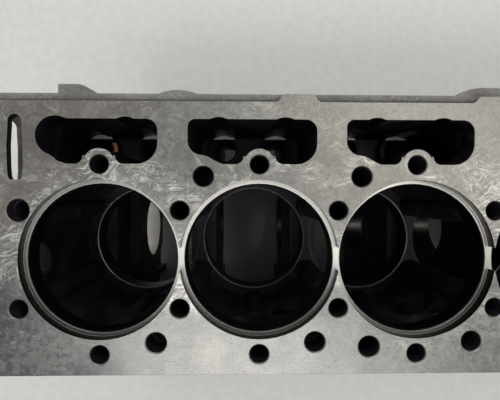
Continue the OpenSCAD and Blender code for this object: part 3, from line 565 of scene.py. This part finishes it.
def tappet_places(w, at, sizes):
    """The faces of the tappet bosses, the walls that their cutter grooved, and a rusted patch."""
    face_z = DECK - sizes.tappet_face
    faces = w.between(at.z, face_z - 0.0011, face_z + THIN)
    first_tappet = -2.5 * PITCH - sizes.tappet_before
    rust = w.all_of(
        w.between(at.x, first_tappet + 0.0102, first_tappet + 0.0217),
        w.between(at.y, CAM_Y - 0.002, CAM_Y + 0.008),
        w.between(at.z, face_z - 0.0015, face_z + 0.0015),
    )
    swept = w.between(at.tappet, sizes.cutter - 0.0004, sizes.cutter + 0.0004)
    return {
        "tappets": w.all_of(faces, w.between(at.y, sizes.tappet_near, sizes.tappet_far), w.above(at.up, 0.3)),
        "cutter": w.all_of(swept, w.between(at.z, face_z, DECK - 0.002)),
        "groove": w.spread(at.z, face_z + 0.012, face_z + 0.052, 1.0, 0.0),
        "rust": rust,
    }


def block_zones(w, at, sizes):
    """Masks over the block's surface, by the way each part of it was made."""
    zones = {**joint_faces(w, at), **bored_places(w, at, sizes)}
    zones |= {**inner_places(w, at, sizes), **tappet_places(w, at, sizes)}
    zones["drilled"] = drilled_places(w, at, sizes)
    zones["bevel"] = w.all_of(w.between(at.z, DECK - EDGE_CUT, DECK - THIN), w.above(at.up, 0.5))
    zones["bright"] = w.any_of(*(zones[key] for key in ("face", "seat", "bevel", "mains", "lip")))
    zones["cut"] = w.any_of(*(zones[key] for key in ("bright", "bored", "tappets", "cutter")))
    zones["rough"] = w.all_of(*(w.no(zones[key]) for key in ("cut", "inside", "drilled")))
    return zones


def times(colour, factor):
    return tuple(min(1, factor * part) for part in colour)


def rough_iron(w, at, colours):
    """Rough cast iron with sand dust and light rust, rubbed along its edges."""
    cast = tuple(colours.cast)
    tone = w.colour(1.0, cast, w.spread(at.skin["Tone"], 0.35, 0.65, 0.66, 1.38), "MULTIPLY", "cast tone")
    tone = w.colour(w.all_of(at.skin["Pores"], 0.6), tone, times(cast, 0.25))
    tone = w.colour(w.all_of(at.skin["Dust"], 0.75), tone, times(cast, 2.6))
    tone = w.colour(w.all_of(at.edges["Edge"], 0.45), tone, times(cast, 2.6))
    rusty = w.spread(w.noise(at.place, 44.0, 4.0, 0.65, 0.6), 0.58, 0.70)
    tone = w.colour(w.all_of(rusty, 0.4), tone, tuple(colours.rust))
    # the foot of the band beside the deck is painted darker
    darker_foot = w.all_of(w.between(at.y, CAM_Y, BAND_FOOT), w.above(at.z, DECK - 0.02))
    return w.colour(w.all_of(darker_foot, 0.7), tone, times(cast, 0.3))


def oily_iron(w, at, colours):
    """Wet iron inside, with painted shade: darkest in the jacket and the chambers and on the up-facing
    ledges.
    """
    oil = tuple(colours.oil)
    wet = w.colour(w.spread(at.film, 0.4, 0.7), oil, times(oil, 1.9))
    # painted shade on the up-facing ledges, where the light does not reach
    wet = w.colour(w.spread(at.up, 0.5, 0.9, 0.0, 0.6), wet, times(oil, 0.45))
    # painted shade, deeper in the jacket and deepest in the chambers
    recess_shade = w.number(at.zones["chamber"], w.number(at.zones["jacket"], 1.0, 0.6), 0.35)
    wet = w.colour(1.0, wet, recess_shade, "MULTIPLY")
    # here and there the oil has run off the chamber and jacket walls
    dry = w.spread(w.noise(at.place, 27.0, 4.0, 0.6, 0.5), 0.60, 0.68)
    dry = w.all_of(dry, w.any_of(at.zones["chamber"], at.zones["jacket"]), 0.5)
    return w.colour(dry, wet, times(oil, 3.2))


def deck_iron(w, at, colours):
    """Milled iron with what wiping, oil, coolant and storage have left on it."""
    milled, stain = tuple(colours.milled), tuple(colours.stain)
    mottle = w.spread(at.marks["Mottle"], 0.36, 0.64, 0.80, 1.13)
    tone = w.colour(1.0, milled, mottle, "MULTIPLY", "milled tone")
    tone = w.colour(w.all_of(at.marks["Blotches"], 0.35), tone, stain)
    # coolant has tanned the front corner on the camshaft side
    tanned = w.spread(w.minus(at.y, at.x), 0.36, 0.48)
    tone = w.colour(w.all_of(tanned, 0.5), tone, tuple(colours.tan))
    # wiping shows most on the deck between the bores, and least along its plain side
    wiped = w.all_of(w.spread(at.bore, 0.085, 0.115, 0.9, 0.3), w.spread(at.y, -0.055, -0.035, 0.3, 1.0))
    wiped = w.all_of(at.marks["Wipes"], wiped, w.number(at.zones["deck"], 0.12, 1.0))
    tone = w.colour(wiped, tone, times(milled, 2.6))
    tone = w.colour(w.all_of(at.marks["Scratches"], 0.4), tone, times(milled, 2.4))
    # the deck is painted darker and mottled in the front corner on the plain side
    corner = w.spread(w.total(at.x, at.y), -0.385, -0.47)
    darker_corner = w.all_of(corner, w.spread(at.marks["Mottle"], 0.40, 0.58, 0.15, 1.0))
    tone = w.colour(darker_corner, tone, stain)
    tone = w.colour(1.0, tone, w.spread(at.marks["Grain"], 0.32, 0.68, 0.90, 1.11), "MULTIPLY", "glitter")
    tone = w.colour(w.all_of(at.marks["Pits"], 0.7), tone, times(milled, 0.25))
    # worn edges, and a painted highlight along the machined edges
    return w.colour(w.all_of(at.edges["Edge"], 0.35), tone, times(milled, 2.4))


def seat_iron(w, at, colours):
    """Liner seats with a painted highlight: brighter on the camshaft side and most of all in the second
    cylinder, where light falls and is reflected.
    """
    milled = tuple(colours.milled)
    # painted highlight and reflection on the seats, brightest in the second cylinder
    seat_highlight = w.all_of(
        w.spread(at.y, -0.05, 0.03),
        w.spread(at.x, -0.42, -0.24, 0.35, 1.0),
        w.spread(at.x, -0.17, -0.07, 1.0, 0.7),
    )
    ring = w.colour(seat_highlight, times(milled, 0.75), times(milled, 3.2))
    # worn edges, and a painted highlight along the seat's edges
    return w.colour(w.all_of(at.edges["Edge"], 0.5), ring, times(milled, 2.0))


def bored_iron(w, at, colours):
    bored = tuple(colours.bored)
    dull = w.colour(w.spread(at.film, 0.35, 0.65), times(bored, 0.6), times(bored, 0.3))
    # worn edges, and a painted highlight along the pilot's edges
    return w.colour(w.all_of(at.edges["Edge"], 0.5), dull, times(colours.milled, 1.2))


def casting_colour(w, at, colours):
    """Lays the finishes on the cast skin in the order in which the block was made."""
    oil, milled = tuple(colours.oil), tuple(colours.milled)
    shiny = w.all_of(at.zones["groove"], w.spread(at.film, 0.3, 0.55))
    first = w.below(at.x, FIRST_CAP_END + THIN)
    layers = (
        ("inside", oily_iron(w, at, colours)),
        ("drilled", times(oil, 0.3)),
        ("cutter", w.colour(shiny, times(oil, 0.4), times(milled, 2.0))),
        ("bored", bored_iron(w, at, colours)),
        # painted highlight on the first main bearing, where light comes in at the front end; the others are
        # painted dark with oil, as in shade
        ("mains", w.colour(first, times(oil, 0.8), times(milled, 2.4))),
        # painted highlight: the machined chamfer at the top of each lower pilot is painted bright
        ("lip", times(milled, 3.0)),
        # the tappet faces are dark with oil; their far rims carry a painted highlight
        ("tappets", w.colour(at.rim, times(oil, 0.25), times(milled, 4.2))),
        ("rust", tuple(colours.orange)),
        ("seat", seat_iron(w, at, colours)),
        ("bevel", times(milled, 0.7)),
        ("face", deck_iron(w, at, colours)),
    )
    colour = rough_iron(w, at, colours)
    for zone, layer in layers:
        colour = w.colour(at.zones[zone], colour, layer)
    return colour


def casting_roughness(w, at):
    cast, oily = w.spread(at.skin["Tone"], 0.3, 0.7, 0.52, 0.74), w.spread(at.film, 0.35, 0.65, 0.36, 0.6)
    polished = w.total(w.spread(at.marks["Mottle"], 0.3, 0.7, 0.36, 0.45), w.all_of(at.marks["Wipes"], 0.08))
    rough = w.number(at.zones["inside"], cast, oily)
    rough = w.number(w.any_of(at.zones["bored"], at.zones["tappets"]), rough, 0.36)
    rough = w.number(w.all_of(at.zones["tappets"], at.rim), rough, 0.62)
    return w.number(at.zones["bright"], rough, polished)


def casting_height(w, at):
    """Sand grain on rough iron, thread turns in the holes, and cutter arcs and marks on cut faces."""
    arcs = w.group(shared("Cutter Arcs", cutter_arcs), Place=at.place)
    grain = w.all_of(at.skin["Height"], w.number(at.zones["inside"], 1.0, 0.45), w.no(at.zones["cut"]))
    turns = w.math("SINE", w.all_of(at.z, 2 * math.pi / THREAD_PITCH))
    fine = w.total(
        w.all_of(arcs["Height"], 0.012),
        w.all_of(at.marks["Scratches"], -0.03),
        w.all_of(at.marks["Pits"], -0.12),
        w.all_of(at.marks["Wipes"], 0.01),
    )
    return w.total(grain, w.all_of(fine, at.zones["bright"]), w.all_of(turns, at.zones["drilled"], 0.35))


def casting_finish(sizes, colours):
    material, w, shader, place = new_material("block_casting")
    at = Surface(w, place, sizes)
    wet = w.all_of(w.any_of(at.zones["inside"], at.zones["drilled"]), 0.85)
    w.fill(
        shader,
        Base_Color=casting_colour(w, at, colours),
        Metallic=w.all_of(w.any_of(at.zones["cut"], wet), 0.94),
        Roughness=casting_roughness(w, at),
        Normal=w.bump(casting_height(w, at), 1.0, 0.0011, at.edges["Rounded"]),
    )
    return material


class BLOCK_OT_casting(Operator):
    """Dress the casting: rough outside, machined faces and bores, oily inside"""

    bl_idname = "engine_block.casting"
    bl_label = "Cylinder block"

    def execute(self, context):
        scene = context.scene
        dress("cylinder_block", casting_finish(scene.block_sizes, scene.block_colours))
        return {"FINISHED"}


# ---- caps, bolts and small pieces ------------------------------------------------------

# how finely the tool lines of a turned or ground piece lie along each axis
TOOL_LINES = {
    "X": (1400.0, 30.0, 30.0),
    "Z": (30.0, 30.0, 1400.0),
    None: (420.0, 420.0, 420.0),
}
CAP_SEAT = 0.016     # height of the bolt seats over a cap's lowest face


def cap_finish(sizes, colours):
    """Rough iron caps, machined in the bore, on the joint and on the bolt seats."""
    material, w, shader, place = new_material("cap_iron")
    x, y, z = w.split(place)
    up = w.split(w.add("ShaderNodeNewGeometry").outputs["True Normal"])[2]
    skin = w.group(shared("Cast Skin", cast_skin), Place=place, Size=0.8)
    edges = w.group(shared("Edge Wear And Highlight", edge_wear_and_highlight), Radius=0.0018, Contrast=3.0)
    milled, seat_z = tuple(colours.milled), CAP_LOW.z + CAP_SEAT
    crank = w.reach(y, w.minus(z, CRANK_HEIGHT))
    bore = w.between(crank, sizes.main_bore - 0.001, sizes.main_bore + 0.0008)
    seats = w.all_of(w.between(z, seat_z - THIN, seat_z + THIN), w.below(up, -0.5))
    cut = w.any_of(bore, w.above(z, CRANK_HEIGHT - THIN), seats)
    iron = w.colour(1.0, tuple(colours.cap), w.spread(skin["Tone"], 0.35, 0.65, 0.7, 1.3), "MULTIPLY")
    iron = w.colour(w.all_of(edges["Edge"], 0.5), iron, (0.3, 0.295, 0.285))
    # painted highlight: the first bearing is painted bright where light falls on it; the others are painted
    # dull with oil and dark, as in shade
    first = w.all_of(bore, w.below(x, FIRST_CAP_END + THIN))
    bright = w.colour(first, times(milled, 0.5), times(milled, 3.6))
    height = w.all_of(skin["Height"], w.no(cut))
    w.fill(
        shader,
        Base_Color=w.colour(cut, iron, bright),
        Metallic=w.all_of(cut, 0.9),
        Roughness=w.number(cut, w.spread(skin["Tone"], 0.3, 0.7, 0.42, 0.62), 0.3),
        Normal=w.bump(height, 0.8, 0.0008, edges["Rounded"]),
    )
    return material


def metal_finish(name, colour, rough, worn, wear, metallic=1.0, lines=None, wet=None):
    """A small metal piece: tool lines along the given axis, rubbed edges and thumbed patches.
    With wet, a pair (Y, oil colour), it is oily beyond that Y."""
    material, w, shader, place = new_material(name)
    edges = w.group(shared("Edge Wear And Highlight", edge_wear_and_highlight), Radius=0.0007, Contrast=5.0)
    patch = w.noise(place, 85.0, 4.0, 0.6, 0.3)
    body = w.colour(1.0, tuple(colour), w.spread(patch, 0.3, 0.7, 0.72, 1.22), "MULTIPLY")
    body = w.colour(w.all_of(edges["Edge"], wear), body, worn)
    if wet:
        body = w.colour(w.above(w.split(place)[1], wet[0]), body, wet[1])
    grain = w.noise(w.mapped(place, scale=TOOL_LINES[lines]), 1.0, 3.0, 0.6)
    w.fill(
        shader,
        Base_Color=body,
        Metallic=metallic,
        Roughness=w.spread(patch, 0.3, 0.7, rough - 0.07, rough + 0.09),
        Normal=w.bump(grain, 0.35, 0.00025, edges["Rounded"]),
    )
    return material


class BLOCK_OT_caps(Operator):
    """Dress the seven main bearing caps"""

    bl_idname = "engine_block.caps"
    bl_label = "Main bearing caps"

    def execute(self, context):
        finish = cap_finish(context.scene.block_sizes, context.scene.block_colours)
        for number in range(1, 8):
            dress("main_cap_%d" % number, finish)
        return {"FINISHED"}


class BLOCK_OT_bolts(Operator):
    """Dress the cap bolts and the threaded gallery plugs in black oxide"""

    bl_idname = "engine_block.bolts"
    bl_label = "Cap bolts and gallery plugs"

    def execute(self, context):
        black = context.scene.block_colours.black
        finish = metal_finish("black_oxide", black, 0.42, (0.28, 0.27, 0.26), 0.55, 0.85, "Z")
        dress("main_cap_bolts", finish)
        dress("gallery_plugs", finish)
        return {"FINISHED"}


class BLOCK_OT_bushings(Operator):
    """Dress the cam bushings in bored bearing metal"""

    bl_idname = "engine_block.bushings"
    bl_label = "Cam bushings"

    def execute(self, context):
        bearing = context.scene.block_colours.bearing
        finish = metal_finish("bearing_metal", bearing, 0.3, (0.8, 0.68, 0.45), 0.5, lines="X")
        for number in range(1, 8):
            dress("cam_bushing_%d" % number, finish)
        return {"FINISHED"}


class BLOCK_OT_plugs(Operator):
    """Dress the pressed cup plugs in zinc plate"""

    bl_idname = "engine_block.plugs"
    bl_label = "Core plugs and cam plug"

    def execute(self, context):
        colours = context.scene.block_colours
        worn = (0.7, 0.68, 0.6)
        wet = (PLUG_HIGH.y - 0.0015, tuple(colours.oil))
        dress("core_plugs", metal_finish("zinc_core_plugs", colours.zinc, 0.38, worn, 0.35, wet=wet))
        dress("cam_end_plug", metal_finish("zinc_cam_plug", colours.zinc, 0.38, worn, 0.35))
        return {"FINISHED"}


class BLOCK_OT_dowels(Operator):
    """Dress the locating dowels in ground steel"""

    bl_idname = "engine_block.dowels"
    bl_label = "Locating dowels"

    def execute(self, context):
        steel = context.scene.block_colours.steel
        finish = metal_finish("ground_steel", steel, 0.24, (0.8, 0.8, 0.8), 0.4, lines="X")
        dress("front_dowel_pins", finish)
        dress("rear_dowel_pins", finish)
        return {"FINISHED"}


# ---- the stage -------------------------------------------------------------------------

FLOOR_HALF = 9.0
FLOOR_GAP = 0.0005                                  # keeps the sump rail clear of the floor
CAMERA_PLACE = (-0.2196, 0.0551, 0.7643)
CAMERA_TURN = (-0.69, -1.09, 0.10)                  # degrees
LENS, SENSOR = 26.21, 36.0                          # millimetres
SURROUND = (0.96, 0.98, 1.0)


def add_floor(colour):
    shape = bmesh.new()
    below = Matrix.Translation((0, 0, -FLOOR_GAP))
    bmesh.ops.create_grid(shape, x_segments=2, y_segments=2, size=FLOOR_HALF, matrix=below)
    mesh = bpy.data.meshes.new("floor")
    shape.to_mesh(mesh)
    shape.free()
    floor = bpy.data.objects.new("floor", mesh)
    bpy.context.scene.collection.objects.link(floor)
    material, w, shader, place = new_material("pale_floor")
    speckle = w.spread(w.noise(place, 60.0, 4.0, 0.6), 0.3, 0.7, 0.96, 1.03)
    w.put(shader.inputs["Base Color"], w.colour(1.0, colour, speckle, "MULTIPLY"))
    shader.inputs["Roughness"].default_value = 0.85
    floor.data.materials.append(material)
    return floor


def add_lamp(name, place, aim, size, watts, colour=(1.0, 1.0, 1.0)):
    lamp = bpy.data.lights.new(name, "AREA")
    lamp.shape = "RECTANGLE"
    lamp.size, lamp.size_y = size
    lamp.energy = watts
    lamp.color = colour
    holder = bpy.data.objects.new(name, lamp)
    holder.location = place
    holder.rotation_euler = (Vector(aim) - Vector(place)).to_track_quat("-Z", "Y").to_euler()
    holder.visible_camera = False
    bpy.context.scene.collection.objects.link(holder)


def add_camera():
    camera = bpy.data.objects.new("camera", bpy.data.cameras.new("camera"))
    camera.data.lens, camera.data.sensor_width = LENS, SENSOR
    camera.data.clip_start, camera.data.clip_end = 0.01, 60.0
    camera.location = CAMERA_PLACE
    camera.rotation_euler = [math.radians(angle) for angle in CAMERA_TURN]
    bpy.context.scene.collection.objects.link(camera)
    return camera


class BLOCK_OT_stage(Operator):
    """Set the pale floor, the soft lamps and the camera over the second cylinder"""

    bl_idname = "engine_block.stage"
    bl_label = "Stage"

    def execute(self, context):
        scene, light = context.scene, context.scene.studio_light
        add_floor(tuple(scene.block_colours.floor))
        world = bpy.data.worlds.new("studio")
        world.use_nodes = True
        scene.world = world
        background = world.node_tree.nodes["Background"]
        background.inputs["Color"].default_value = (*SURROUND, 1.0)
        background.inputs["Strength"].default_value = light.surround
        # the deck mirrors the key lamp along its plain side and the warm fill lamp on the other
        add_lamp("key_lamp", (-0.22, -0.86, 2.05), (-0.2, -0.05, DECK), (1.25, 0.45), light.key_power)
        warm = (1.0, 0.97, 0.88)
        add_lamp("fill_lamp", (0.72, 0.48, 2.1), (-0.1, 0.0, DECK), (1.25, 0.95), light.fill_power, warm)
        add_lamp("back_lamp", (-0.3, 1.35, 1.5), (-0.2, 0.35, 0.0), (1.2, 0.6), light.back_power)
        scene.camera = add_camera()
        scene.view_settings.view_transform = "Standard"
        return {"FINISHED"}


class BLOCK_PT_panel(Panel):
    """Lists the pieces of the engine block with their sizes and colours"""

    bl_idname = "BLOCK_PT_panel"
    bl_label = "Engine Block"
    bl_space_type = "VIEW_3D"
    bl_region_type = "UI"
    bl_category = "Engine Block"

    def draw(self, context):
        for step in STEPS:
            self.layout.operator(step.bl_idname)
        for name in GROUPS:
            box = self.layout.box()
            group = getattr(context.scene, name)
            for key in type(group).__annotations__:
                box.prop(group, key)


STEPS = (
    BLOCK_OT_casting,
    BLOCK_OT_caps,
    BLOCK_OT_bolts,
    BLOCK_OT_bushings,
    BLOCK_OT_plugs,
    BLOCK_OT_dowels,
    BLOCK_OT_stage,
)
GROUPS = {"block_sizes": BlockSizes, "block_colours": BlockColours, "studio_light": StudioLight}


def register():
    for cls in (*GROUPS.values(), *STEPS, BLOCK_PT_panel):
        bpy.utils.register_class(cls)
    for name, group in GROUPS.items():
        setattr(bpy.types.Scene, name, PointerProperty(type=group))


def unregister():
    for name in GROUPS:
        delattr(bpy.types.Scene, name)
    for cls in reversed((*GROUPS.values(), *STEPS, BLOCK_PT_panel)):
        bpy.utils.unregister_class(cls)


def main():
    register()
    for step in STEPS:
        group, name = step.bl_idname.split(".")
        getattr(getattr(bpy.ops, group), name)()


if __name__ == "__main__":
    main()
